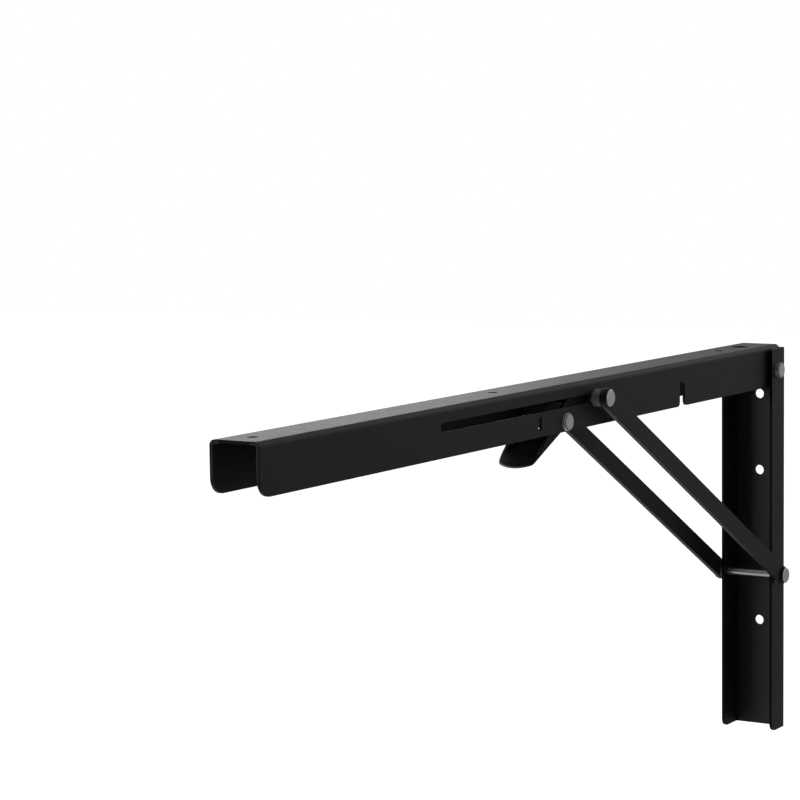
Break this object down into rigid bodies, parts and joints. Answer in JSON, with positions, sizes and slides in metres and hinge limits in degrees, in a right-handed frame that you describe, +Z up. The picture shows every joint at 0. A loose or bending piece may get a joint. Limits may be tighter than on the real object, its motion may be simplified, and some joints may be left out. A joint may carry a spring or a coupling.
{
  "type": "folding shelf bracket",
  "caption": "Folding shelf bracket: a wall channel, a slotted arm, two struts and a spring-loaded release lever that locks the arm level.",
  "frame": {"origin": "middle of the wall plate's back face, on the wall and on the middle plane", "axes": "+Y into the wall, +X across the bracket, +Z up; the arm reaches out along -Y"},
  "size_m": [0.042, 0.502, 0.2126],
  "materials": {
    "black_coat": "fine-grained matt black powder coat",
    "lever_coat": "fine-grained matt black powder coat",
    "bare_steel": "bare turned steel",
    "bush_steel": "dull grey steel",
    "spring_steel": "drawn spring wire"
  },
  "bodies": {
    "wall": {"wall_plate": "black_coat", "top_pivot_rod": "bare_steel", "top_washer_left": "bush_steel", "top_washer_right": "bush_steel"},
    "arm": {"arm_channel": "black_coat", "lever_pivot_rod": "bare_steel", "lever_spring": "spring_steel"},
    "struts": {"strut_left": "black_coat", "strut_right": "black_coat", "bottom_pivot_rod": "bare_steel", "bottom_washer_left": "bush_steel", "bottom_washer_right": "bush_steel", "strut_rivet_left": "bare_steel", "strut_rivet_right": "bare_steel"},
    "slide_pins": {"slide_stud_left": "bare_steel", "slide_stud_right": "bare_steel", "slide_bush_left": "bush_steel", "slide_bush_right": "bush_steel"},
    "lever": {"release_lever": "lever_coat"}
  },
  "joints": [
    {"name": "arm_fold", "type": "hinge", "parent": "wall", "child": "arm", "pos_m": [0, -0.0107, 0.0936], "axis": [1, 0, 0], "range_deg": [0, 90]},
    {"name": "strut_swing", "type": "hinge", "parent": "wall", "child": "struts", "pos_m": [0, -0.0118, -0.0189], "axis": [1, 0, 0], "range_deg": [0, 118.57]},
    {"name": "pin_slide", "type": "slide", "parent": "arm", "child": "slide_pins", "axis": [0, -1, 0], "range_m": [0, 0.14211]},
    {"name": "lever_press", "type": "hinge", "parent": "arm", "child": "lever", "pos_m": [0, -0.2485, 0.0893], "axis": [-1, 0, 0], "range_deg": [0, 30], "stiffness_Nm_per_rad": 0.3, "springref_deg": -17.19, "deforming": ["lever_spring"]}
  ],
  "couplings": [
    {"joint": "strut_swing", "follows": "arm_fold", "ratio": 1.3174},
    {"joint": "pin_slide", "follows": "arm_fold", "m_per_rad": 0.090462}
  ]
}
